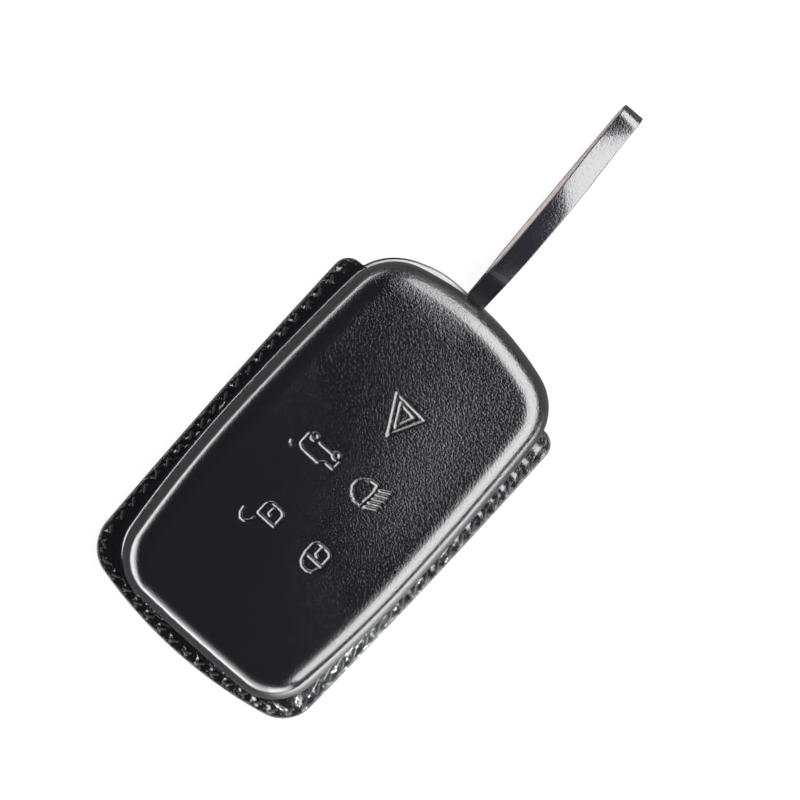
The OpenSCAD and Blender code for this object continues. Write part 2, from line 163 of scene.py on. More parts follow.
class Branch(Graph):
    # a geometry tree with named inputs, run once on an object and then removed
    def __init__(self, name, inputs):
        super().__init__(bpy.data.node_groups.new(name, "GeometryNodeTree"))
        add = self.tree.interface.new_socket
        add("Geometry", in_out="INPUT", socket_type="NodeSocketGeometry")
        for label, kind in inputs.items():
            add(label, in_out="INPUT", socket_type="NodeSocket" + kind)
        add("Geometry", in_out="OUTPUT", socket_type="NodeSocketGeometry")
        self.source = self.tree.nodes.new("NodeGroupInput")

    def given(self, label):
        return Wire(self, self.source.outputs[label])

    def shapeOf(self, label):
        return self.node("GeometryNodeObjectInfo", {}, {"Object": self.given(label)}, "Geometry")

    def end(self, geometry):
        real = self.node("GeometryNodeRealizeInstances", {}, {0: geometry})
        dressed = self.node("GeometryNodeSetMaterial", {}, {
            "Geometry": real, "Material": self.given("Material")})
        self.node("NodeGroupOutput", {}, {0: dressed}, None)
        return self.tree


def addObject(name, data):
    made = bpy.data.objects.new(name, data)
    bpy.context.scene.collection.objects.link(made)
    return made


def discard(*objects):
    for one in objects:
        bpy.data.objects.remove(one, do_unlink=True)


def grow(tree, base, name, values):
    # runs a geometry tree on an object and returns the plain mesh object that it makes
    modifier = base.modifiers.new("made", "NODES")
    modifier.node_group = tree
    for item in tree.interface.items_tree:
        if item.in_out == "INPUT" and item.name in values:
            modifier[item.identifier] = values[item.name]
    bpy.context.view_layer.update()
    ready = base.evaluated_get(bpy.context.evaluated_depsgraph_get())
    mesh = bpy.data.meshes.new_from_object(ready)
    mesh.name = name
    mesh.materials.clear()
    mesh.materials.append(values["Material"])
    mesh.polygons.foreach_set("material_index", [0] * len(mesh.polygons))
    base.modifiers.remove(modifier)
    return addObject(name, mesh)


def meshObject(name, points, faces, values=None, unit=mm):
    # a smooth mesh from points and faces, with values for each point under their names
    made = bpy.data.meshes.new(name)
    made.from_pydata((np.asarray(points) * unit).tolist(), [], faces)
    for label, spread in (values or {}).items():
        stored = made.attributes.new(label, "FLOAT", "POINT")
        stored.data.foreach_set("value", np.asarray(spread, np.float32))
    made.polygons.foreach_set("use_smooth", [True] * len(made.polygons))
    made.update()
    return addObject(name, made)


def polyline(name, paths):
    curve = bpy.data.curves.new(name, "CURVE")
    curve.dimensions = "3D"
    for path in paths:
        spline = curve.splines.new("POLY")
        spline.points.add(len(path) - 1)
        for point, place in zip(spline.points, path):
            point.co = (*(float(v) * mm for v in place), 1)
    return addObject(name, curve)


def dress(piece, node, body="cover"):
    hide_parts(node)
    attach(piece, body)


# Materials

def sRgb(*parts):
    shares = [p / 255 for p in parts]
    return tuple(p / 12.92 if p <= 0.04045 else ((p + 0.055) / 1.055) ** 2.4 for p in shares)


grain = {"black": sRgb(18, 18, 23), "worn": sRgb(25, 25, 31), "paint": sRgb(12, 12, 13), "roughness": 0.17,
         "stretch": (1.0, 1.25, 1.1), "depth": 0.088, "pebbleScale": 2.3, "pebbles": 0.75,
         "domeScale": 1.95, "domes": 0.45, "fineScale": 5.5, "fine": 0.3, "broadScale": 0.12,
         "creaseScale": 2.4, "creaseDepth": 0.11, "creaseSlant": 0.4, "creaseLength": 0.3,
         "tones": (0.35, 0.75), "broadShift": 0.05, "fineShift": 0.1, "paintShift": 0.05, "paintFill": 0.9}
worked = {"lean": 0.6, "calmOver": (-40, 25), "calm": 0.45, "coarseUp": (37, 44), "coarseAcross": (-8, 2),
          "coarse": 1.2}  # where the front's grain is calmer and coarser, in millimetres
symbol = {"depth": 0.3, "halfWidth": 0.1, "soft": 0.25, "core": 0.6, "crisp": 0.08, "edgeDepth": 0.12,
          "reach": 2.0, "top": 0.95}


def makeLeather(name, turn=0.0, depth=1.0, gloss=0.0, moulded=False, paintedLightLift=1.0):
    # grained leather; the moulded front also has drawn creases, a coarser corner and crisp pressed signs; a
    # paintedLightLift above 1 makes a paler copy of the same black, which is painted light
    s = Shader(name)
    drawn = s.stretched(math.radians(turn), grain["stretch"])
    domes = s.cells(grain["domeScale"], drawn)
    pebbles = s.noise(grain["pebbleScale"], 2.0, 0.6, drawn) * grain["pebbles"]
    fine = s.noise(grain["fineScale"], 2.0, 0.6, drawn)
    broad = s.noise(grain["broadScale"])
    paint = s.attribute("paint")
    height = (pebbles + (1 - domes * domes) * grain["domes"] + fine * grain["fine"]) * depth
    if moulded:
        across, up, _ = s.split(s.place)
        coarse = (s.ramp(up, *worked["coarseUp"], 0.0, worked["coarse"])
                  * s.ramp(across, *worked["coarseAcross"], 1.0, 0.0))
        calm = s.ramp(across * worked["lean"] + up, *worked["calmOver"], worked["calm"])
        level = s.attribute("level")
        along = s.vector(s.attribute("run") + level * grain["creaseSlant"], level * grain["creaseLength"])
        creases = s.noise(grain["creaseScale"], 1.0, 0.6, along)
        height = (height * (calm + coarse) * s.attribute("relief")
                  + creases * s.attribute("drawn") * (grain["creaseDepth"] / grain["depth"]))
        half = symbol["halfWidth"]
        pressed = s.ramp(s.attribute("near"), half * symbol["core"], half + symbol["crisp"], 1.0, 0.0)
        height = height - pressed * (symbol["edgeDepth"] / grain["depth"])
    # paintedLightLift scales the black and its tones up: painted light, a lit copy of the same leather
    black, worn = (tuple(c * paintedLightLift for c in grain[tone]) for tone in ("black", "worn"))
    colour = s.mix(paint, s.mix(s.ramp(fine, *grain["tones"]), black, worn), grain["paint"])
    roughness = (grain["roughness"] - gloss + (broad - 0.5) * grain["broadShift"]
                 + (fine - 0.5) * grain["fineShift"] - paint * grain["paintShift"])
    return s.surface({"IOR": 2.0, "Coat Weight": 0.8, "Coat Roughness": 0.1, "Coat IOR": 1.6,
                      "Base Color": colour, "Roughness": roughness,
                      "Normal": s.bump(height * (1 - paint * grain["paintFill"]), grain["depth"])})


nap = {"scale": 9.0, "turn": 0.6, "stretch": (1.0, 2.4, 1.0), "tones": (0.3, 0.75), "depth": 0.06,
       "cloudScale": 0.35, "clouds": (0.3, 0.8), "cloud": 0.25}


def makeMicrofibre(name, light, dark):
    s = Shader(name)
    fibres = s.noise(nap["scale"], 4.0, 0.7, s.stretched(nap["turn"], nap["stretch"]))
    colour = s.mix(s.ramp(fibres, *nap["tones"]), dark, light)
    colour = s.mix(s.ramp(s.noise(nap["cloudScale"]), *nap["clouds"], 0.0, nap["cloud"]), colour, dark)
    return s.surface({"Roughness": 0.9, "Specular IOR Level": 0.2,
                      "Sheen Weight": 0.25, "Sheen Roughness": 0.5,
                      "Base Color": s.mix(s.attribute("paint"), colour, grain["paint"]),
                      "Normal": s.bump(fibres, nap["depth"])})


boardMix = {"pulpScale": 5.0, "tones": (0.3, 0.7), "fleckScale": 1.6, "flecks": (0.0, 0.12), "fleck": 0.5,
            "depth": 0.04, "dark": sRgb(150, 140, 124), "light": sRgb(188, 178, 162),
            "spot": sRgb(96, 84, 70)}


def makeBoard(name):
    s = Shader(name)
    pulp = s.noise(boardMix["pulpScale"], 4.0, 0.65)
    colour = s.mix(s.ramp(pulp, *boardMix["tones"]), boardMix["dark"], boardMix["light"])
    flecks = s.ramp(s.cells(boardMix["fleckScale"]), *boardMix["flecks"], boardMix["fleck"], 0.0)
    return s.surface({"Roughness": 0.85, "Base Color": s.mix(flecks, colour, boardMix["spot"]),
                      "Normal": s.bump(pulp, boardMix["depth"])})


yarn = {"scale": 16.0, "tones": (0.3, 0.7), "dark": sRgb(16, 16, 18), "light": sRgb(40, 40, 44),
        "roughness": 0.3, "uneven": 0.2, "depth": 0.03}


def makeThread(name):
    s = Shader(name)
    fibre = s.noise(yarn["scale"], 2.0, 0.6)
    colour = s.mix(s.ramp(fibre, *yarn["tones"]), yarn["dark"], yarn["light"])
    return s.surface({"IOR": 1.55, "Sheen Weight": 0.1, "Base Color": colour,
                      "Roughness": yarn["roughness"] + fibre * yarn["uneven"],
                      "Normal": s.bump(fibre, yarn["depth"])})


frontLeather = makeLeather("frontLeather", moulded=True)
backLeatherFinish = makeLeather("backLeatherFinish", 30, 1.4, -0.08)
# the strap is the same black leather, its colour painted 2.6 times paler to stand in for light falling on it
strapLeatherFinish = makeLeather("strapLeatherFinish", 70, 0.8, 0.04, paintedLightLift=2.6)
splitLeather = makeMicrofibre("splitLeather", sRgb(214, 204, 198), sRgb(176, 162, 156))
microfibre = makeMicrofibre("microfibre", sRgb(236, 234, 230), sRgb(206, 203, 198))
fibreBoard = makeBoard("fibreBoard")
blackThread = makeThread("blackThread")
print("materials made")


# Outlines of the moulding and the rim, as chains of tangent arcs, in millimetres

cover = {
    "mouldWidest": 45.8, "mouldClosed": 4.7, "rimWidest": 68.0,  # measured from the closed end
    "mouldWidth": 52.9, "rimStop": 9.6, "rimCorner": 8.3, "stopCorner": 3.6, "closedCorner": 10.5,
    "mouthCorner": 11.5,
    "shoulder": 6.0, "swell": 0.5, "crownRise": 0.8, "foot": 1.6, "lipMiddle": 0.4, "lipSide": 1.2,
    "leather": 1.2, "board": 0.5, "lining": 0.4, "edgeRound": 0.3, "seamInset": 1.5, "stitchPitch": 3.7,
}
frontLow, frontHigh = (np.array(corner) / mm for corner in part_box("front_shell"))
closedY, mouthY = frontLow[1], -frontLow[1]
halfRim = frontHigh[0]
halfMould = cover["mouldWidth"] / 2
mouldWideY = closedY + cover["mouldWidest"]
mouldClosedY = closedY + cover["mouldClosed"]
rimWideY = closedY + cover["rimWidest"]
rimStopY = mouthY - cover["rimStop"]
stopY = rimStopY - cover["stopCorner"]
baseZ, crownZ = frontLow[2], frontHigh[2]
rimTop = baseZ + cover["leather"]
crownEdgeZ = crownZ - cover["crownRise"]
shoulderZ = crownEdgeZ - cover["shoulder"]
crownInset = cover["shoulder"] - cover["swell"]
rimChain = [cover["rimWidest"], cover["rimCorner"], 13, 2]  # reach, corner radius, end's turn, side's turn
lowChain = [mouldWideY - mouldClosedY, cover["closedCorner"], 2, 7]
upChain = [mouthY - mouldWideY, cover["mouthCorner"], 16.5, 3.5]


def sine(turn):
    return np.sin(np.radians(turn))


def cosine(turn):
    return np.cos(np.radians(turn))


def longRadii(chain, half):
    # radii of the end's and the side's arcs that make the chain as wide and as long as it has to be
    reach, corner, endTurn, sideTurn = chain
    a, b, c, d = sine(endTurn), 1 - cosine(sideTurn), 1 - cosine(endTurn), sine(sideTurn)
    p = half - corner * (cosine(sideTurn) - a)
    q = reach - corner * (cosine(endTurn) - d)
    return (p * d - b * q) / (a * d - b * c), (a * q - c * p) / (a * d - b * c)


def chainAt(chain, half, phi):
    # the chain's points where it faces the angles phi, from 0 at the end's middle to 90 at the side
    reach, corner, endTurn, sideTurn = chain
    endR, sideR = longRadii(chain, half)
    onEnd, onSide = phi <= endTurn, phi >= 90 - sideTurn
    radius = np.where(onEnd, endR, np.where(onSide, sideR, corner))
    x = np.where(onEnd, 0, np.where(onSide, half - sideR, (endR - corner) * sine(endTurn)))
    y = np.where(onEnd, endR, np.where(onSide, reach, endR - (endR - corner) * cosine(endTurn)))
    return np.stack([x + radius * sine(phi), y - radius * cosine(phi)], -1)


def lowFoot(phi):
    return chainAt(lowChain, halfMould, phi) + [0, mouldClosedY]


def upFoot(phi):
    return chainAt(upChain, halfMould, phi) * [1, -1] + [0, mouthY]


def rimLow(phi):
    return chainAt(rimChain, halfRim, phi) + [0, closedY]


def lowNormal(phi):
    return np.stack([sine(phi), -cosine(phi)], -1)


def upNormal(phi):
    return np.stack([sine(phi), cosine(phi)], -1)


rimSideR = longRadii(rimChain, halfRim)[1]
rimSideTurn = 90 - rimChain[3]
rimSideY = rimLow(rimSideTurn)[1]
lowSideR = longRadii(lowChain, halfMould)[1]
lowSideTurn = 90 - lowChain[3]
upEndR, upSideR = longRadii(upChain, halfMould)
upSideEnd = mouldWideY + upSideR * sine(upChain[3])
upCornerY = mouthY - upEndR + (upEndR - cover["mouthCorner"]) * cosine(upChain[2])


def rimX(y):
    return halfRim - rimSideR + np.sqrt(rimSideR ** 2 - (y - rimWideY) ** 2)


def upPhi(y):
    # the upper outline's angle at a height
    onSide = 90 - np.degrees(np.arcsin(np.clip((y - mouldWideY) / upSideR, -1, 1)))
    onCorner = np.degrees(np.arccos(np.clip((y - upCornerY) / cover["mouthCorner"], -1, 1)))
    return np.where(y < upSideEnd, onSide, onCorner)


def closedRim(phi):
    # the rim's angle that belongs to an angle of the moulding at the closed end
    endTurn, sideTurn = lowChain[2:]
    share = (phi - endTurn) / (90 - sideTurn - endTurn)
    return np.where(phi <= endTurn, phi * rimChain[2] / endTurn,
                    rimChain[2] + share * (rimSideTurn - rimChain[2]))


def ease(t):
    return (1 - np.cos(np.pi * np.clip(t, 0, 1))) / 2


def filled(value, count):
    return np.full(count, 1.0) * value


def steps(first, last, size):
    # evenly spaced values from first up to but not last, no further apart than size
    count = max(1, math.ceil(abs(last - first) / size - 1e-6))
    return list(first + (last - first) * np.arange(count) / count)


spacing = {"fine": 0.2, "plain": 0.42, "corner": 2.2, "edgeBand": 3.4, "symbolX": 13.6,
           "symbolY": [(-17.2, -9.2), (0.9, 7.9), (15.6, 24.8)], "samples": 1200,
           "lowCorner": 45.0, "upCorner": 51.5,  # angles at the crown's corners
           "stopSteps": 10, "flatSteps": 6, "flatRise": 0.1, "flatFall": 0.02, "neckTurn": 1.6}


def crownEdge(foot, normal, phi):
    return foot(phi) - crownInset * normal(phi)


def crossLines():
    # the crown's lines along Y, from the middle out, close together over the symbols and at the corners
    wide = crownEdge(lowFoot, lowNormal, spacing["lowCorner"])[0]
    dense = wide - spacing["edgeBand"]
    return np.array(steps(0, spacing["symbolX"], spacing["fine"])
                    + steps(spacing["symbolX"], dense, spacing["plain"])
                    + steps(dense, wide, spacing["fine"]) + [wide])


def alongLines(first, last):
    # heights of the crown's lines across, close together over the symbols
    marks = sorted({first, last} | {v for pair in spacing["symbolY"] for v in pair if first < v < last})
    out = []
    for a, b in zip(marks, marks[1:]):
        fine = any(low <= (a + b) / 2 <= high for low, high in spacing["symbolY"])
        out += steps(a, b, spacing["fine" if fine else "plain"])
    return np.array(out)


def phiAtX(foot, normal, top, places):
    # the angles at which the crown's edge has the given x
    phi = np.linspace(0, top, spacing["samples"])
    return np.interp(places, crownEdge(foot, normal, phi)[:, 0], phi)


def rightStations():
    # rows of foot point, its normal, rim point, its normal, share of the rim and height of the lip
    rows = []

    def add(foot, normal, rim, share, lip=baseZ, rimNormal=None):
        count = len(foot)
        rimNormal = np.tile([1.0, 0.0], (count, 1)) if rimNormal is None else rimNormal
        rows.append(np.column_stack([foot, normal, rim, rimNormal, filled(share, count), filled(lip, count)]))

    lines = crossLines()
    lowCorner, upCorner = spacing["lowCorner"], spacing["upCorner"]
    phi = phiAtX(lowFoot, lowNormal, lowCorner, lines)
    phi[-1] = lowCorner
    phi = np.concatenate([phi, steps(lowCorner, lowSideTurn, spacing["corner"])[1:]])
    add(lowFoot(phi), lowNormal(phi), rimLow(closedRim(phi)), 1, rimNormal=lowNormal(closedRim(phi)))
    sideY = lowFoot(lowSideTurn)[1]
    ys = alongLines(sideY, mouldWideY)
    phi = 90 - np.degrees(np.arcsin((mouldWideY - ys) / lowSideR))
    rimY = rimSideY + (ys - sideY) * (mouldWideY - rimSideY) / (mouldWideY - sideY)
    add(lowFoot(phi), lowNormal(phi), np.stack([rimX(rimY), rimY], -1), 1)
    ys = alongLines(mouldWideY, stopY)
    add(upFoot(upPhi(ys)), upNormal(upPhi(ys)), np.stack([rimX(ys), ys], -1), 1)
    turn = np.linspace(0, 90, spacing["stopSteps"] + 1)
    centre = np.array([rimX(stopY) - cover["stopCorner"], stopY])
    rim = centre + cover["stopCorner"] * np.stack([cosine(turn), sine(turn)], -1)
    foot = upFoot(upPhi(rim[:, 1]))
    share = (rim[:, 0] - foot[:, 0]) / (rimX(stopY) - upFoot(upPhi(stopY))[0])
    add(foot, upNormal(upPhi(rim[:, 1])), rim, share)
    t = (np.arange(spacing["flatSteps"]) + 1) / (spacing["flatSteps"] + 1)
    ys = rimStopY + spacing["flatRise"] * t
    foot = upFoot(upPhi(ys))
    flat = np.stack([rim[-1, 0] + (foot[:, 0] - rim[-1, 0]) * t, rimStopY - spacing["flatFall"] * t], -1)
    add(foot, upNormal(upPhi(ys)), flat, share[-1] * (1 - t))
    neckPhi = float(upPhi(rimStopY + cover["edgeRound"] / 2))
    topPhi = phiAtX(upFoot, upNormal, upCorner, crossWidth(lines))[::-1]
    phi = np.concatenate([steps(neckPhi, upCorner, spacing["neckTurn"]), [upCorner], topPhi[1:]])
    endTurn = upChain[2]
    sideLip, middleLip = shoulderZ - cover["lipSide"], shoulderZ - cover["lipMiddle"]
    lip = np.where(phi > endTurn, baseZ + (sideLip - baseZ) * ease((neckPhi - phi) / (neckPhi - endTurn)),
                   sideLip + (middleLip - sideLip) * ease((endTurn - phi) / endTurn))
    add(upFoot(phi), upNormal(phi), upFoot(phi), -1, lip, upNormal(phi))
    return np.vstack(rows), len(lines)


def crossWidth(lines):
    # the same lines at the mouth's end, where the crown is a little narrower or wider
    return lines * crownEdge(upFoot, upNormal, spacing["upCorner"])[0] / lines[-1]


class Stations:
    # the places round the moulding at which its section is drawn, counted from the closed end's middle
    def __init__(self):
        right, self.lines = rightStations()
        left = right[-2:0:-1] * np.array([-1, 1, -1, 1, -1, 1, -1, 1, 1, 1])
        rows = np.vstack([right, left])
        self.half = len(right)
        self.foot, self.normal, self.rim, self.rimNormal = (rows[:, k:k + 2] for k in (0, 2, 4, 6))
        self.sewn = rows[:, 8] >= 0
        self.share = np.clip(rows[:, 8], 0, 1)
        self.fade = np.clip((self.share - 0.75) / 0.25, 0, 1)
        self.lip = rows[:, 9]
        self.edge = self.foot - self.normal * crownInset
        seam = (self.rim - self.rimNormal * cover["seamInset"])[:self.half]
        run = np.concatenate([[0], np.cumsum(np.linalg.norm(np.diff(seam, axis=0), axis=1))])
        self.along = np.concatenate([run, -run[-2:0:-1]])

    def lifted(self, places, z):
        return np.column_stack([places, filled(z, len(places))])

    def wall(self, under, z):
        z = filled(z, len(self.foot))
        u = np.clip((z - rimTop) / (shoulderZ - rimTop), 0, 1)
        out = cover["swell"] * (1 - (1 - u) ** 2) - under
        return self.lifted(self.foot + self.normal * out[:, None], z)

    def shoulder(self, under, angle):
        radius = cover["shoulder"] - under
        out = cover["swell"] - cover["shoulder"] + radius * cosine(angle)
        return self.lifted(self.foot + self.normal * out, shoulderZ + radius * sine(angle))

    def crownUnder(self, under, part):
        # a ring under the crown, at a part of the way from its middle to its edge
        z = crownEdgeZ - under + cover["crownRise"] * ease(1 - part)
        return self.lifted(self.edge * part, z)

    def insideRim(self, inset):
        return self.rim - self.rimNormal * (inset * self.share)[:, None]

    def choose(self, whenSewn, whenFree):
        # one value or place along the sewn rim, another along the mouth's free lip
        return np.where(self.sewn if np.ndim(whenSewn) < 2 else self.sewn[:, None], whenSewn, whenFree)


ring = Stations()
print("stations", len(ring.foot))


# Meshes of rings: from a grid or a pole on top, ring by ring, to a pole at the end

def quads(index):
    a, b, c, d = index[:-1, :-1], index[1:, :-1], index[1:, 1:], index[:-1, 1:]
    return np.stack([a, b, c, d], -1).reshape(-1, 4)


def between(outer, inner):
    # faces from one closed ring of points to the next
    return np.stack([outer, inner, np.roll(inner, -1), np.roll(outer, -1)], -1)


def fan(band, tip, onTop=False):
    # triangles from a ring of points to its pole
    ends = zip(band.tolist(), np.roll(band, -1).tolist())
    return [(tip, a, b) if onTop else (a, tip, b) for a, b in ends]


def ringMesh(name, top, rings, pole, finish, faces=None, border=None):
    # finish holds the values of each ring under their names; without a border the top is a pole too
    count = len(ring.foot)
    bands = [len(top) + k * count + np.arange(count) for k in range(len(rings))]
    chain = bands if border is None else [border] + bands
    sides = np.vstack([between(a, b) for a, b in zip(chain, chain[1:])]).tolist()
    caps = (fan(bands[0], 0, True) if border is None else []) + fan(bands[-1], len(top) + count * len(rings))
    values = {label: np.concatenate([filled(label == "relief", len(top))] + spread + [[0.0]])
              for label, spread in finish.items()}
    return meshObject(name, np.vstack([top] + rings + [[pole]]), (faces or []) + sides + caps, values)


sharpAngle = math.radians(48)


def skin(name, top, rings, bottom, material):
    # a flat or inner layer, from rings of points with the paint on each
    places, paints = zip(*rings)
    spread = [filled(paint, len(ring.foot)) for paint in paints]
    made = ringMesh(name, [top], list(places), bottom, {"paint": spread})
    made.data.set_sharp_from_angle(angle=sharpAngle)
    made.data.materials.append(material)
    return made


# The moulded front: a grid over the crown, then rings over the shoulder, the wall, the rim and back inside

def crownGrid():
    # the crown's points and faces, from its four edges, and its border in the stations' order
    m, n = ring.lines, ring.half
    across = 2 * m - 1
    right = ring.edge[m - 1:n - m + 1]
    bottom = np.vstack([ring.edge[:m][::-1] * [-1, 1], ring.edge[1:m]])
    top = np.vstack([ring.edge[n - m:n] * [-1, 1], ring.edge[n - m:n - 1][::-1]])
    left = right * [-1, 1]
    u = ((bottom[:, 0] - bottom[0, 0]) / (bottom[-1, 0] - bottom[0, 0]))[:, None, None]
    v = ((right[:, 1] - right[0, 1]) / (right[-1, 1] - right[0, 1]))[None, :, None]
    grid = ((1 - v) * bottom[:, None] + v * top[:, None] + (1 - u) * left[None] + u * right[None]
            - (1 - u) * (1 - v) * bottom[0] - u * (1 - v) * bottom[-1]
            - (1 - u) * v * top[0] - u * v * top[-1])
    index = np.arange(across * len(right)).reshape(across, len(right))
    border = np.concatenate([index[m - 1:, 0], index[-1, 1:], index[::-1, -1][1:], index[0, ::-1][1:],
                             index[1:m - 1, 0]])
    rise = cover["crownRise"] * (1 - (2 * u[..., 0] - 1) ** 2) ** 2 * (1 - (2 * v[..., 0] - 1) ** 2) ** 2
    points = np.column_stack([grid.reshape(-1, 2), crownEdgeZ + rise.reshape(-1)])
    return points, quads(index).tolist(), border


pucker = {"hollow": 0.34, "long": 1.25, "wide": 0.42, "slant": 32.0, "swelling": 0.1, "fullAt": 0.7,
          "fullWide": 0.4, "crumple": 0.05, "wave": 3.1, "waveSpread": 2.2, "waveAcross": 5.5, "waves": 9,
          "wander": 0.3, "looseStitches": 31}
crumples = np.random.default_rng(11).uniform(-1, 1, (pucker["waves"], 3))


def rimRelief(inset, wander):
    # height of the sewn rim: a slanted hollow under each stitch, a little fullness between, and crumpling
    phase = (ring.along / cover["stitchPitch"]) % 1 - 0.5
    index = np.floor(ring.along / cover["stitchPitch"]).astype(int)
    loose = 1 + wander[index % len(wander)]
    out, up = phase * cover["stitchPitch"], cover["seamInset"] - inset
    run = out * cosine(pucker["slant"]) + up * sine(pucker["slant"])
    side = up * cosine(pucker["slant"]) - out * sine(pucker["slant"])
    hollow = np.exp(-(run / pucker["long"]) ** 4 - (side / pucker["wide"]) ** 2)
    full = np.exp(-((inset - pucker["fullAt"]) / pucker["fullWide"]) ** 2) * ease(np.abs(phase) * 2)
    crumple = sum(np.sin(ring.along * (pucker["wave"] + pucker["waveSpread"] * a)
                         + inset * pucker["waveAcross"] * b + 6 * c) for a, b, c in crumples) / 3
    relief = pucker["swelling"] * full * loose - pucker["hollow"] * hollow * loose
    return (relief + pucker["crumple"] * crumple) * ring.fade


front = {"shoulderRings": 12, "wallRings": 6, "roundTurns": (22.5, 45, 67.5, 90),
         "insets": [2.1, 1.95, 1.8, 1.65, 1.5, 1.35, 1.15, 0.95, 0.75, 0.55],
         "edgeTurns": (90, 60, 30, 0), "crownParts": (0.8, 0.55, 0.3),
         "smoothed": 0.65, "smoothedMouth": 0.4, "footGrain": 0.5, "wallGrain": 0.35, "rimGrain": 0.9,
         "wallCrease": 0.03, "mouthCrease": 0.9, "lipCrease": 0.6, "footCrease": 0.3,
         "rimCrease": 0.35, "edgeCrease": 0.95, "creaseFrom": 1.6, "creaseOver": 0.6,
         "wallLevel": 9, "footLevel": 15, "rimLevel": 17, "edgeLevel": 23}


def frontRings():
    # the rings of points, and for each point its paint, its grain, its creases and where it lies
    share, free = ring.share, 1 - ring.share
    foot, e, leather = cover["foot"] * share, cover["edgeRound"], cover["leather"]
    rings = []
    finish = {"paint": [], "relief": [], "drawn": [], "run": [], "level": []}

    def add(points, paint=0.0, relief=0.5, drawn=0.0, level=0.0):
        rings.append(points)
        for name, value in zip(finish, (paint, relief, drawn, ring.along, level)):
            finish[name].append(filled(value, len(points)))

    for angle in np.linspace(90, 0, front["shoulderRings"] + 1)[1:]:
        tight = ease((90 - angle) / 60)
        smoothed = front["smoothed"] * (front["smoothedMouth"] + (1 - front["smoothedMouth"]) * share)
        add(ring.shoulder(0, angle), 0.0, 1 - tight * smoothed,
            tight * (front["wallCrease"] + front["mouthCrease"] * free), (90 - angle) / 10)
    bottom = ring.choose(rimTop + foot, ring.lip + e)
    for t in np.linspace(0, 1, front["wallRings"] + 1)[1:]:
        add(ring.wall(0, shoulderZ + (bottom - shoulderZ) * t), 0.0, front["wallGrain"],
            front["wallCrease"] + front["lipCrease"] * free,
            front["wallLevel"] + (front["footLevel"] - front["wallLevel"]) * t)
    for angle in front["roundTurns"]:
        out, rise = foot * (1 - cosine(angle)), 1 - sine(angle)
        crease = ring.lifted(ring.foot + ring.normal * out[:, None], rimTop + foot * rise)
        lipEdge = ring.wall(e * (1 - cosine(angle)), ring.lip + e * rise)
        add(ring.choose(crease, lipEdge), ring.choose(0.0, angle / 90), front["footGrain"],
            front["footCrease"] * share, front["footLevel"] + angle / 60)
    wander = np.random.default_rng(7).uniform(-1, 1, pucker["looseStitches"]) * pucker["wander"]
    for k, inset in enumerate(front["insets"]):
        rim = ring.lifted(ring.insideRim(inset), rimTop + rimRelief(inset, wander))
        under = e + (leather - 2 * e) * (k + 1) / len(front["insets"])
        creased = ease((front["creaseFrom"] - inset) / front["creaseOver"])
        add(ring.choose(rim, ring.wall(under, ring.lip)), ring.choose(0.0, 1.0), front["rimGrain"],
            share * (front["rimCrease"] + front["edgeCrease"] * creased), front["rimLevel"] + k * 0.5)
    for angle in front["edgeTurns"]:
        edge = ring.lifted(ring.insideRim(e * (1 - cosine(angle))),
                           rimTop - e * (1 - sine(angle)) + rimRelief(0.4, wander) * 0.6)
        inner = ring.wall(leather, ring.lip + e * (1 - angle / 90) * 0.9)
        add(ring.choose(edge, inner), ring.choose(1 - angle / 90, 1.0), front["rimGrain"],
            (front["rimCrease"] + front["edgeCrease"]) * share, front["edgeLevel"])
    add(ring.choose(ring.lifted(ring.rim, baseZ), ring.wall(leather, ring.lip + e)), 1.0)
    start = ring.choose(baseZ, ring.lip + e * 1.2)
    for t in (0, 1 / 3, 2 / 3, 1):
        add(ring.wall(leather, start + (shoulderZ - start) * t))
    for angle in front["roundTurns"]:
        add(ring.shoulder(leather, angle))
    for part in front["crownParts"]:
        add(ring.crownUnder(leather, part))
    return rings, finish


def arc(centre, radius, first, last, count=10):
    turn = np.linspace(first, last, count)
    return [(centre[0] + radius * cosine(t), centre[1] + radius * sine(t)) for t in turn]


def symbolStrokes():
    # five plain control signs, as strokes on the crown: hazard triangle, boot lid, lamp and two padlocks
    strokes = [
        [(-3.4, 24.0), (4.9, 23.6), (1.1, 16.2), (-3.4, 24.0)],
        [(-1.4, 23.0), (2.8, 22.5), (1.1, 18.5), (-1.4, 23.0)],
        [(-11.2, 5.6), (-11.2, 2.9), (-10.4, 2.3), (-5.9, 2.3), (-4.9, 3.3), (-2.6, 3.3), (-2.5, 5.2)],
        [(-8.3, 5.55), (-4.9, 5.55)], arc((-12.3, 2.3), 0.85, 200, 300, 6),
        arc((-9.9, 5.8), 0.75, 0, 360, 13), arc((-3.9, 5.8), 0.75, 0, 360, 13),
        [(6.65, 7.1), (6.95, 5.6), (6.95, 4.0), (6.65, 1.8), (5.0, 1.75), (3.6, 2.4), (2.75, 3.6),
         (2.75, 4.8), (3.4, 5.9), (4.9, 6.9), (6.65, 7.1)],
        [(-6.1, -10.9), (-6.2, -12.4), (-5.7, -12.6)], [(6.85, -10.5), (6.8, -12.2), (7.4, -12.4)],
        [(-7.9, -15.0), (-8.2, -16.1), (-9.0, -16.9), (-10.1, -16.9), (-10.8, -16.1), (-11.0, -14.8)],
        [(4.9, -13.5), (5.3, -15.0), (6.3, -15.9), (7.6, -16.0), (8.7, -15.4), (9.1, -14.3)],
    ]
    strokes += [[(7.55, y), (9.75, y + 1.2)] for y in (6.5, 5.4, 4.3, 3.15, 2.0)]
    corner = 1.3
    for left, right, top, bottom in ((-8.0, -3.6, -13.75, -10.2), (4.8, 9.4, -13.4, -10.0)):
        strokes.append([(left, top), (right, top)] + arc((right - corner, bottom - corner), corner, 0, 90, 7)
                       + arc((left + corner, bottom - corner), corner, 90, 180, 7) + [(left, top)])
    return [[(x, y, crownZ) for x, y in stroke] for stroke in strokes]


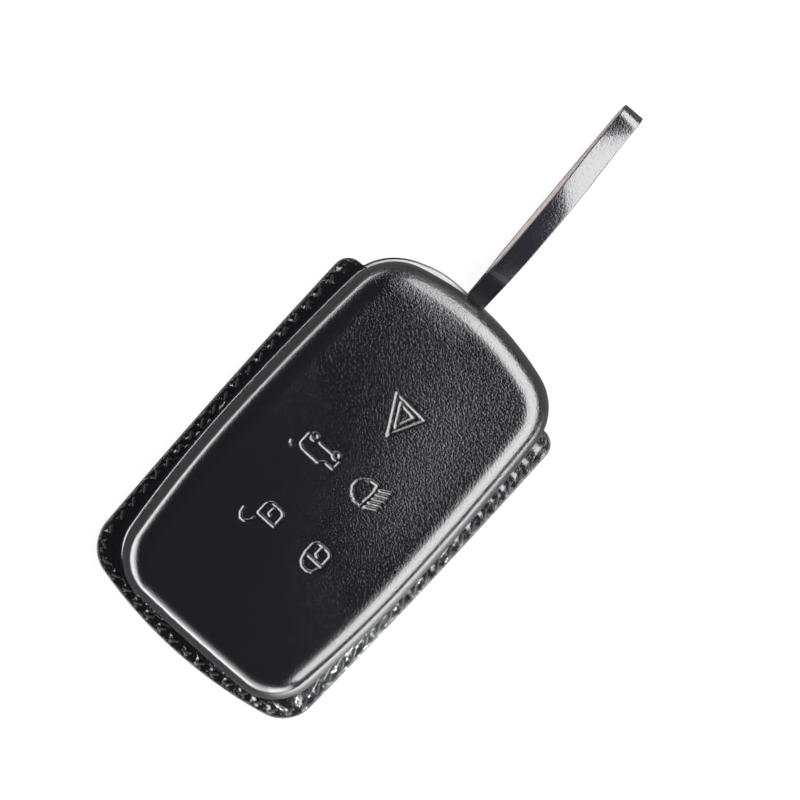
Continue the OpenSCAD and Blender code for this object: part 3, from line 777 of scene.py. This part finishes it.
def pressTree():
    # presses the crown down near the strokes and notes how near each point is, in millimetres
    b = Branch("pressedSigns", {"Strokes": "Object", "Depth": "Float", "Half width": "Float", "Soft": "Float",
                                "Level": "Float", "Material": "Material"})
    wires = b.node("GeometryNodeCurveToMesh", {}, {"Curve": b.shapeOf("Strokes")})
    x, y, z = b.split(b.node("GeometryNodeInputPosition"))
    near = b.node("GeometryNodeProximity", {"target_element": "EDGES"},
                  {0: wires, "Sample Position": b.vector(x, y, b.given("Level"))}, 1)
    half = b.given("Half width")
    press = b.ramp(near, half, half + b.given("Soft"), 1.0, 0.0)
    top = b.node("FunctionNodeCompare", {"data_type": "FLOAT", "operation": "GREATER_THAN"},
                 {0: z, 1: b.given("Level") - symbol["top"] * mm})
    pressed = b.node("GeometryNodeSetPosition", {}, {
        0: b.given("Geometry"), "Selection": top, "Offset": b.vector(z=press * b.given("Depth") * -1.0)})
    away = near.maths("MINIMUM", near * (1 / mm), symbol["reach"]) + (1.0 - top) * symbol["reach"]
    return b.end(b.node("GeometryNodeStoreNamedAttribute", {"data_type": "FLOAT", "domain": "POINT"},
                        {"Geometry": pressed, "Name": "near", "Value": away}))


def makeFront():
    grid, faces, border = crownGrid()
    rings, finish = frontRings()
    plain = ringMesh("plainFront", grid, rings, (0, 0, crownZ - cover["leather"]), finish, faces, border)
    signs = polyline("signs", symbolStrokes())
    piece = grow(pressTree(), plain, "mouldedFront", {
        "Strokes": signs, "Depth": symbol["depth"] * mm, "Half width": symbol["halfWidth"] * mm,
        "Soft": symbol["soft"] * mm, "Level": crownZ * mm, "Material": frontLeather})
    discard(plain, signs)
    dress(piece, "front_shell")
    print("front", len(piece.data.polygons), "faces")


makeFront()


# The flat and the inner layers

sheet = {"backLip": 0.9, "liningLip": 0.6, "boardInset": 2.8, "boardShort": 1.2, "edgeGap": 0.06,
         "soft": 0.1, "stepFall": 0.12, "lipFall": 0.08, "grooveDepth": 0.76, "grooveHalf": 0.46,
         "wideLip": 0.85, "wideAt": -12.0, "wideSpan": 6.5, "evening": 4,
         "insets": (0.75, 0.95, 1.02, 1.08, 1.2, 1.5, 1.8, 1.92, 1.98, 2.05, 2.4)}
liningTop = baseZ - cover["lining"]
pocketFloor = liningTop + cover["board"]


def makePocketLining():
    # the lining inside the moulding, with its flange between the two leathers of the rim
    outer = cover["leather"] + cover["board"]
    inner = outer + cover["lining"]
    edge = ring.insideRim(sheet["edgeGap"])
    low = ring.choose(baseZ, ring.lip)
    turns = list(range(90, -1, -15))
    parts = front["crownParts"]
    rings = [(ring.crownUnder(outer, part), 0) for part in parts[::-1]]
    rings += [(ring.shoulder(outer, angle), 0) for angle in turns]
    rings += [(ring.wall(outer, shoulderZ + (low - shoulderZ) * part), 0) for part in (0.3, 0.7, 1)]
    for part, z in ((1 / 3, baseZ), (2 / 3, liningTop)):
        lip = ring.wall(outer + (inner - outer) * part, ring.lip - sheet["lipFall"])
        rings.append((ring.choose(ring.lifted(edge, z), lip), ring.choose(1.0, 0.0)))
    low = ring.choose(liningTop, ring.lip)
    rings += [(ring.wall(inner, low + (shoulderZ - low) * part), 0) for part in (0, 0.3, 0.7)]
    rings += [(ring.shoulder(inner, angle), 0) for angle in turns[::-1]]
    rings += [(ring.crownUnder(inner, part), 0) for part in parts]
    piece = skin("pocketLining", (0, 0, crownZ - outer), rings, (0, 0, crownZ - inner), microfibre)
    dress(piece, "shell_lining")


def sheetEdge(lip):
    # a flat layer's outline: the rim's, and at the mouth the moulding's with a lip that is wider on the left
    lip = lip + sheet["wideLip"] * np.exp(-((ring.foot[:, 0] - sheet["wideAt"]) / sheet["wideSpan"]) ** 2)
    wide = np.linalg.norm(ring.rim - ring.foot, axis=1) > lip
    places = np.where((wide & ring.sewn)[:, None], ring.rim, ring.foot + ring.normal * lip[:, None])
    along = np.roll(places, -1, 0) - np.roll(places, 1, 0)
    normal = np.stack([along[:, 1], -along[:, 0]], -1)
    for _ in range(sheet["evening"]):
        normal /= np.linalg.norm(normal, axis=1)[:, None]
        normal = normal + (np.roll(normal, -1, 0) + np.roll(normal, 1, 0)) / 2
    return places, normal / np.linalg.norm(normal, axis=1)[:, None]


def makeBackLining():
    # the lining on the back, raised over its board
    places, normal = sheetEdge(sheet["liningLip"])
    edge = places - normal * sheet["edgeGap"]
    atMouth = ease((ring.foot[:, 1] - rimStopY) / (mouthY - rimStopY))
    inset = sheet["boardInset"] + (sheet["boardShort"] - sheet["boardInset"]) * atMouth
    board = ring.foot - ring.normal * inset[:, None]
    step = ring.foot - ring.normal * (inset - cover["lining"])[:, None]
    soft, under, hollow = sheet["soft"], cover["leather"], cover["leather"] + cover["board"]
    painted = ring.choose(1.0, 0.0)
    plan = [(board * 0.5, pocketFloor, 0), (board, pocketFloor, 0),
            ((board + step) / 2, pocketFloor - sheet["stepFall"], 0), (step, liningTop, 0),
            (edge - normal * soft, liningTop, 0), (edge, liningTop - soft, painted),
            (edge, under + soft, painted), (edge - normal * soft, under, 0),
            (board, under, 0), (board, hollow, 0), (board * 0.5, hollow, 0)]
    rings = [(ring.lifted(where, z), paint) for where, z, paint in plan]
    piece = skin("backLining", (0, 0, pocketFloor), rings, (0, 0, hollow), microfibre)
    dress(piece, "back_lining")


def cutTree():
    # cuts the bars' shapes out of the piece
    b = Branch("tackGrooves", {"Cutters": "Object", "Material": "Material"})
    return b.end(b.node("GeometryNodeMeshBoolean", {"operation": "DIFFERENCE", "solver": "EXACT"},
                        {0: b.given("Geometry"), 1: b.shapeOf("Cutters")}))


def makeBackLeather(cutters):
    # the flat back, with rounded painted edges and grooves for the stitches underneath
    places, normal = sheetEdge(sheet["backLip"])
    top, r = cover["leather"], cover["edgeRound"]
    turns = front["edgeTurns"]
    plan = [(places * part, top, 0) for part in (0.4, 0.8)]
    plan += [(places - normal * r * (1 - cosine(a)), top - r * (1 - sine(a)), 1 - a / 90) for a in turns]
    plan += [(places - normal * r * (1 - cosine(a)), r * (1 - sine(a)), 1 - a / 90) for a in turns[::-1]]
    for inset in sheet["insets"]:
        depth = sheet["grooveDepth"] * np.exp(-((inset - cover["seamInset"]) / sheet["grooveHalf"]) ** 8)
        plan.append((places - normal * inset, depth * ring.fade, 0))
    plan += [(places * part, 0, 0) for part in (0.8, 0.4)]
    rings = [(ring.lifted(where, z), paint) for where, z, paint in plan]
    plain = skin("plainBack", (0, 0, top), rings, (0, 0, 0), backLeatherFinish)
    piece = grow(cutTree(), plain, "backLeather", {"Cutters": cutters, "Material": backLeatherFinish})
    discard(plain, cutters)
    piece.data.set_sharp_from_angle(angle=sharpAngle)
    dress(piece, "back_panel")


makePocketLining()
makeBackLining()
print("linings made")


# Stitches: two plies twisted together, drawn down at both ends, repeated along the seam

stitch = {"length": 2.5, "thickness": 0.66, "twist": 4.2, "slant": 32.0, "dip": 0.42, "seed": 4,
          "helixSteps": 12, "plySides": 8, "plyFat": 1.15, "endThin": 0.65, "swing": 0.05,
          "closedSamples": 120, "sideSamples": 80, "pointsEach": 4}


def seamPath(z):
    # the seam's line from the right stop round the closed end to the left, in even steps, and its stitches
    phi = np.linspace(0, rimSideTurn, stitch["closedSamples"])
    inset = cover["seamInset"]
    ys = np.linspace(rimSideY, stopY, stitch["sideSamples"])[1:]
    right = np.vstack([rimLow(phi) - inset * lowNormal(phi), np.stack([rimX(ys) - inset, ys], -1)])
    loop = np.vstack([right[::-1], right[1:] * [-1, 1]])
    run = np.concatenate([[0], np.cumsum(np.linalg.norm(np.diff(loop, axis=0), axis=1))])
    pitch = cover["stitchPitch"]
    count = int(run[-1] // pitch)
    start = (run[-1] - count * pitch) / 2 + pitch / 2
    marks = np.linspace(start, run[-1] - start, stitch["pointsEach"] * count)
    return [(np.interp(s, run, loop[:, 0]), np.interp(s, run, loop[:, 1]), z) for s in marks], count


def stitchTree():
    # two plies on a helix, sunk at both ends, laid slanting along a row
    b = Branch("sewnRow", {"Row": "Object", "Count": "Int", "Length": "Float", "Thickness": "Float",
                           "Twist": "Float", "Slant": "Float", "Dip": "Float", "Side": "Float", "Seed": "Int",
                           "Material": "Material"})
    points = b.node("GeometryNodeCurveToPoints", {"mode": "COUNT"},
                    {"Curve": b.shapeOf("Row"), "Count": b.given("Count")})
    tangent = b.outputs(points)[1]
    radius = b.given("Thickness") * 0.25
    helix = b.node("GeometryNodeCurveSpiral", {}, {
        "Resolution": stitch["helixSteps"], "Rotations": b.given("Twist"), "Start Radius": radius,
        "End Radius": radius, "Height": b.given("Length")})
    mid = b.node("GeometryNodeSplineParameter") * 2.0 - 1.0
    width = b.node("ShaderNodeMath", {"operation": "SUBTRACT", "use_clamp": True},
                   {0: 1.0, 1: mid * mid * mid * mid * stitch["endThin"]})
    circle = b.node("GeometryNodeCurvePrimitiveCircle", {}, {
        "Resolution": stitch["plySides"], "Radius": radius * stitch["plyFat"]})
    ply = b.node("GeometryNodeCurveToMesh", {}, {
        "Curve": helix, "Profile Curve": circle, "Scale": width, "Fill Caps": True})
    other = b.node("GeometryNodeTransform", {}, {"Geometry": ply, "Rotation": (0, 0, math.pi)})
    both = b.node("GeometryNodeJoinGeometry", {}, {0: [ply, other]})
    centred = b.node("GeometryNodeTransform", {}, {
        "Geometry": both, "Translation": b.vector(z=b.given("Length") * -0.5)})
    reach = b.split(b.node("GeometryNodeInputPosition"))[2] * 2.0 / b.given("Length")
    sink = reach * reach * reach * reach * b.given("Dip") * b.given("Side") * -1.0
    bent = b.node("GeometryNodeSetPosition", {}, {0: centred, "Offset": b.vector(sink)})
    aim = b.node("FunctionNodeAxesToRotation", {"primary_axis": "Z", "secondary_axis": "X"},
                 {0: tangent, 1: (0, 0, 1)})
    swing = b.node("FunctionNodeRandomValue", {"data_type": "FLOAT"},
                   {2: -stitch["swing"], 3: stitch["swing"], "Seed": b.given("Seed")}, 1)
    tilt = b.node("FunctionNodeEulerToRotation", {}, {0: b.vector(b.given("Slant") + swing)})
    tilted = b.node("FunctionNodeRotateRotation", {"rotation_space": "LOCAL"}, {0: aim, 1: tilt})
    sewn = b.node("GeometryNodeInstanceOnPoints", {}, {0: points, "Instance": bent, "Rotation": tilted})
    return b.end(b.node("GeometryNodeSetShadeSmooth", {}, {0: sewn}))


sewing = stitchTree()


def emptyMesh(name):
    return addObject(name, bpy.data.meshes.new(name))


def sewRow(name, paths, count, side, length=stitch["length"]):
    rows = []
    for k, path in enumerate(paths):
        row, holder = polyline(name + "Row", [path]), emptyMesh(name + "Holder")
        rows.append(grow(sewing, holder, name + str(k), {
            "Row": row, "Count": count, "Length": length * mm, "Thickness": stitch["thickness"] * mm,
            "Twist": stitch["twist"], "Slant": math.radians(stitch["slant"]) * side,
            "Dip": stitch["dip"] * mm, "Side": float(side), "Seed": stitch["seed"] + k,
            "Material": blackThread}))
        discard(row, holder)
    return rows


def stitchPiece(name, rows, node):
    # several rows of stitches as one piece
    verts, faces = [], []
    for one in rows:
        start = len(verts)
        verts += [tuple(v.co) for v in one.data.vertices]
        faces += [tuple(start + i for i in p.vertices) for p in one.data.polygons]
    discard(*rows)
    piece = meshObject(name, verts, faces, unit=1.0)
    piece.data.materials.append(blackThread)
    dress(piece, node)


def middleHeight(node):
    low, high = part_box(node)
    return (low[2] + high[2]) / 2 / mm


for name, side in (("needle", 1), ("bobbin", -1)):
    path, seamCount = seamPath(middleHeight(name + "_thread"))
    stitchPiece(name + "Stitches", sewRow(name, [path], seamCount, side), name + "_thread")
print("seam stitches", seamCount)


# The carry loop: two plies swept along one line, and the ends glued together inside the mouth

strap = {"width": 4.7, "side": -3.1, "lean": 2.5, "leather": 0.9, "lining": 0.6, "rootLength": 12.0,
         "reach": 53.0, "archZ": 13.0, "bend": 1.8, "flatEnd": 3.4, "landEnd": 12.0, "peak": 23.0,
         "risePull": 11.0, "peakPull": 9.0, "bendPull": 10.0, "riseAngle": 42.0, "liningStart": 4.0,
         "edge": 0.22, "lip": 0.9, "clear": 0.3, "floor": 2.1, "gap": 0.02, "leadSteps": 40, "backSteps": 30,
         "landSteps": 24, "bendSteps": 25, "archSteps": 40, "kinkRounds": 14, "kinkBefore": 8, "kinkAfter": 5}
lean = math.radians(strap["lean"])
hingeX = strap["side"]
hingeY = mouthY + strap["lip"] + strap["leather"] + 2 * strap["clear"]
hingeZ = strap["floor"] + strap["leather"]
rootEnd = hingeY - strap["leather"] - strap["clear"]


def leaning(y, out, z, side=0.0):
    # a place in the strap's own directions, from the point of its middle line at y
    return (hingeX + side * math.cos(lean) - out * math.sin(lean),
            y + side * math.sin(lean) + out * math.cos(lean), z)


def sweepLine(a, b, c, d, count):
    # a smooth curve from a to d that leaves towards b and arrives from c
    t = np.linspace(0, 1, count)[:, None]
    a, b, c, d = (np.array(p, float) for p in (a, b, c, d))
    return list(a * (1 - t) ** 3 + 3 * b * t * (1 - t) ** 2 + 3 * c * t * t * (1 - t) + d * t ** 3)


def strapLine():
    # the line between the two plies: out along the table, round the bend and back over the arch
    low = strap["leather"] - hingeZ
    high = strap["archZ"] - strap["leather"] - hingeZ
    tip = strap["bend"] + strap["lining"]
    bend = mouthY + strap["reach"] - hingeY - tip - strap["leather"]
    half = (strap["flatEnd"] + strap["landEnd"]) / 2
    peak, pull = strap["peak"], strap["peakPull"]
    rise = strap["risePull"] * np.array([cosine(strap["riseAngle"]), sine(strap["riseAngle"])])
    out = sweepLine((strap["flatEnd"], 0), (half, 0), (half, low), (strap["landEnd"], low),
                    strap["landSteps"])
    turn = np.radians(np.linspace(-90, 90, strap["bendSteps"]))
    out += [np.array([bend + tip * math.cos(t), low + tip + tip * math.sin(t)]) for t in turn]
    out += sweepLine((bend, low + 2 * tip), (bend - strap["bendPull"], low + 2 * tip),
                     (peak + pull, high), (peak, high), strap["archSteps"])[1:]
    out += sweepLine((peak, high), (peak - pull, high), rise, (0, 0), strap["archSteps"])[1:]
    return out


def plyTree():
    # a strip with rounded edges, swept along the strap's route
    b = Branch("strapPly", {"Route": "Object", "Width": "Float", "Thickness": "Float", "Offset": "Float",
                            "Edge": "Float", "Across": "Vector", "Material": "Material"})
    turned = b.node("GeometryNodeSetCurveNormal", {"mode": "FREE"},
                    {"Curve": b.shapeOf("Route"), "Normal": b.given("Across")})
    section = b.node("GeometryNodeCurvePrimitiveQuadrilateral", {}, {
        "Width": b.given("Width"), "Height": b.given("Thickness")})
    rounded = b.node("GeometryNodeFilletCurve", {"mode": "POLY"},
                     {"Curve": section, "Count": 4, "Radius": b.given("Edge")})
    shifted = b.node("GeometryNodeTransform", {}, {
        "Geometry": rounded, "Translation": b.vector(y=b.given("Offset"))})
    swept = b.node("GeometryNodeCurveToMesh", {}, {
        "Curve": turned, "Profile Curve": shifted, "Fill Caps": True})
    return b.end(b.node("GeometryNodeSetShadeSmooth", {}, {0: swept}))


plies = plyTree()


def makePly(name, line, offset, thickness, material):
    route = polyline(name + "Route", [[leaning(hingeY, out, hingeZ + up) for out, up in line]])
    holder = emptyMesh(name + "Holder")
    piece = grow(plies, holder, name, {
        "Route": route, "Width": strap["width"] * mm, "Thickness": thickness * mm, "Offset": offset * mm,
        "Edge": strap["edge"] * mm, "Across": (math.cos(lean), math.sin(lean), 0.0), "Material": material})
    discard(route, holder)
    return piece


def makeStrap():
    # the black ply with both glued ends, bent at the mouth, and the light ply inside the loop
    loop = strapLine()
    inner = rootEnd - strap["rootLength"] - hingeY
    lead = [np.array([x, 0.0]) for x in np.linspace(inner, strap["flatEnd"], strap["leadSteps"])[:-1]]
    back = [np.array([x, strap["gap"]]) for x in np.linspace(0, inner, strap["backSteps"])[1:]]
    route = np.array(lead + loop + back)
    kink = len(route) - len(back)
    near = slice(kink - strap["kinkBefore"], kink + strap["kinkAfter"])
    inside = slice(near.start - 1, near.stop + 1)
    for _ in range(strap["kinkRounds"]):
        route[near] = (route[inside][:-2] + 2 * route[inside][1:-1] + route[inside][2:]) / 4
    leather = makePly("strapLeather", route, (strap["leather"] + strap["gap"]) / 2, strap["leather"],
                      strapLeatherFinish)
    lining = makePly("strapLining", [p for p in loop if p[0] > strap["liningStart"]], -strap["lining"] / 2,
                     strap["lining"] - strap["gap"], splitLeather)
    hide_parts("strap_leather", "strap_root")
    rootEnd * mm
    (2 * hingeY - rootEnd) * mm
    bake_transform(leather)
    dress(lining, "strap_lining", "carry_loop")


makeStrap()
print("strap made")

tack = {"count": 3, "pitch": 3.0, "first": 2.0, "side": 1.51, "gap": 0.9, "grooveHalf": 0.5, "lift": 0.38}


def tackPaths(z):
    ends = [-tack["first"] - tack["pitch"] / 2, -tack["first"] - tack["pitch"] * (tack["count"] - 0.5)]
    return [[leaning(rootEnd, out, z, side * tack["side"]) for out in ends] for side in (-1, 1)]


def tackCutters():
    # two bars in the places of the grooves under the tack stitches
    outs = (-tack["first"], -tack["first"] - tack["count"] * tack["pitch"])
    sides = ((0, 1, 3, 2), (4, 6, 7, 5), (0, 4, 5, 1), (2, 3, 7, 6), (0, 2, 6, 4), (1, 5, 7, 3))
    verts, faces = [], []
    for side in (-1, 1):
        faces += [[len(verts) + i for i in face] for face in sides]
        verts += [leaning(rootEnd, out, z, side * tack["side"] + edge * tack["grooveHalf"])
                  for z in (-1.0, sheet["grooveDepth"]) for out in outs for edge in (-1, 1)]
    return meshObject("tackCutters", verts, faces)


makeBackLeather(tackCutters())
tackLength = tack["pitch"] - tack["gap"]
tackTop = pocketFloor + 2 * strap["leather"] + tack["lift"]
tackRows = sewRow("tackTop", tackPaths(tackTop), tack["count"], 1, tackLength)
tackRows += sewRow("tackUnder", tackPaths(middleHeight("bobbin_thread")), tack["count"], -1, tackLength)
stitchPiece("tackStitches", tackRows, "tack_thread")
print("back and tack stitches made")

for name in ("back_board", "shell_board"):
    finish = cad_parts[name].data.materials
    finish.clear()
    finish.append(fibreBoard)


# Camera, table and light

view = {"lens": 150, "sensor": 36, "distance": 708.5, "aim": (-0.54, 22.96, 0),
        "fromLeft": 4.94, "fromMouth": 0.82, "roll": 42.44}
studio = {"table": 0.14, "tableHalf": 3.0, "lift": 0.92, "drop": 5e-5, "dome": 0.03, "glowFrom": 0.1,
          "horizon": 5.6, "horizonHeight": 0.22, "horizonAzimuth": 215, "horizonLobe": (0.1, 0.6),
          "window": 0.6, "windowAzimuth": 226, "windowLobe": (0.7, 0.97),
          "corner": 3.5, "cornerHeight": 0.75, "cornerAzimuth": 296, "cornerLobe": (0.75, 0.97)}
softboxes = {
    "sideSoftbox": {"azimuth": 45, "height": 44, "distance": 0.62, "wide": 1.6, "tall": 0.51, "power": 12.2},
    "cornerCard": {"azimuth": 318, "height": 14, "distance": 0.62, "wide": 0.3, "tall": 0.2, "power": 0.5},
}
sweepLamp = {"place": (0.168, -0.03, 0.5), "cone": 27, "blend": 0.3, "radius": 0.03, "power": 270}
white = (1, 1, 1, 1)


def addCamera():
    side, mouth, roll = (math.radians(view[k]) for k in ("fromLeft", "fromMouth", "roll"))
    away = Vector((-math.sin(side), math.sin(mouth), 0))
    away.z = math.sqrt(1 - away.length_squared)
    right = (-away).cross(Vector((-math.sin(roll), math.cos(roll), 0))).normalized()
    place = (Vector(view["aim"]) + away * view["distance"]) * mm
    data = bpy.data.cameras.new("camera")
    data.lens, data.sensor_width = view["lens"], view["sensor"]
    camera = addObject("camera", data)
    matrix = camera.matrix_world.copy()
    for column, values in enumerate((right, away.cross(right), away, place)):
        for row in range(3):
            matrix[row][column] = values[row]
    camera.matrix_world = matrix
    bpy.context.scene.camera = camera


def addTable():
    # a grey table that the camera alone sees as white, a little under the cover's back
    half, level = studio["tableHalf"], -studio["drop"]
    made = bpy.data.meshes.new("table")
    made.from_pydata([(x * half, y * half, level) for x, y in ((-1, -1), (1, -1), (1, 1), (-1, 1))],
                     [], [(0, 1, 2, 3)])
    s = Shader("paleTable")
    camera = s.node("ShaderNodeLightPath")
    matt = s.node("ShaderNodeBsdfDiffuse", {}, {"Color": (*(studio["table"],) * 3, 1)})
    glow = s.node("ShaderNodeEmission", {}, {"Color": white, "Strength": studio["lift"]})
    lifted = s.node("ShaderNodeAddShader", {}, {0: matt, 1: glow})
    both = s.node("ShaderNodeMixShader", {}, {0: camera, 1: matt, 2: lifted})
    s.node("ShaderNodeOutputMaterial", {}, {"Surface": both}, None)
    made.materials.append(s.material)
    addObject("table", made)


def addWorld():
    # white for the camera; for the cover a dim dome, a low glow, taller at the window, and a corner card
    world = bpy.data.worlds.new("studio")
    bpy.context.scene.world = world
    world.use_nodes = True
    world.node_tree.nodes.clear()
    g = Graph(world.node_tree)
    x, y, z = g.split(g.node("ShaderNodeTexCoord", {}, {}, "Generated"))

    def towards(name):
        turn = math.radians(studio[name + "Azimuth"])
        return g.ramp(x * math.cos(turn) + y * math.sin(turn), *studio[name + "Lobe"])

    height = towards("window") * studio["window"] + studio["horizonHeight"]
    low = g.ramp(z / height, studio["glowFrom"], 1.0, studio["horizon"], 0.0)
    card = g.ramp(z, studio["glowFrom"], studio["cornerHeight"], studio["corner"], 0.0)
    level = low * towards("horizon") + card * towards("corner") + studio["dome"]
    camera = g.node("ShaderNodeLightPath")
    dome, plain = (g.node("ShaderNodeBackground", {}, {"Color": white, "Strength": strength})
                   for strength in (level, 1.0))
    both = g.node("ShaderNodeMixShader", {}, {0: camera, 1: dome, 2: plain})
    g.node("ShaderNodeOutputWorld", {}, {"Surface": both}, None)


def addLight(name, kind, place, settings):
    data = bpy.data.lights.new(name, kind)
    for key, value in settings.items():
        setattr(data, key, value)
    made = addObject(name, data)
    made.location = place
    return made


def addSoftbox(name, box):
    turn, height = math.radians(box["azimuth"]), math.radians(box["height"])
    out = Vector((math.cos(turn) * math.cos(height), math.sin(turn) * math.cos(height), math.sin(height)))
    place = out * box["distance"]
    light = addLight(name, "AREA", place, {
        "shape": "RECTANGLE", "size": box["wide"], "size_y": box["tall"], "energy": box["power"]})
    light.rotation_euler = (Vector((0, 0, 0.01)) - place).to_track_quat("-Z", "Y").to_euler()


bpy.context.scene.view_settings.view_transform = "Standard"
addCamera()
addTable()
addWorld()
for name, box in softboxes.items():
    addSoftbox(name, box)
addLight("sweepLamp", "SPOT", sweepLamp["place"], {
    "energy": sweepLamp["power"], "spot_size": math.radians(sweepLamp["cone"]),
    "spot_blend": sweepLamp["blend"], "shadow_soft_size": sweepLamp["radius"]})
print("table and lights placed")
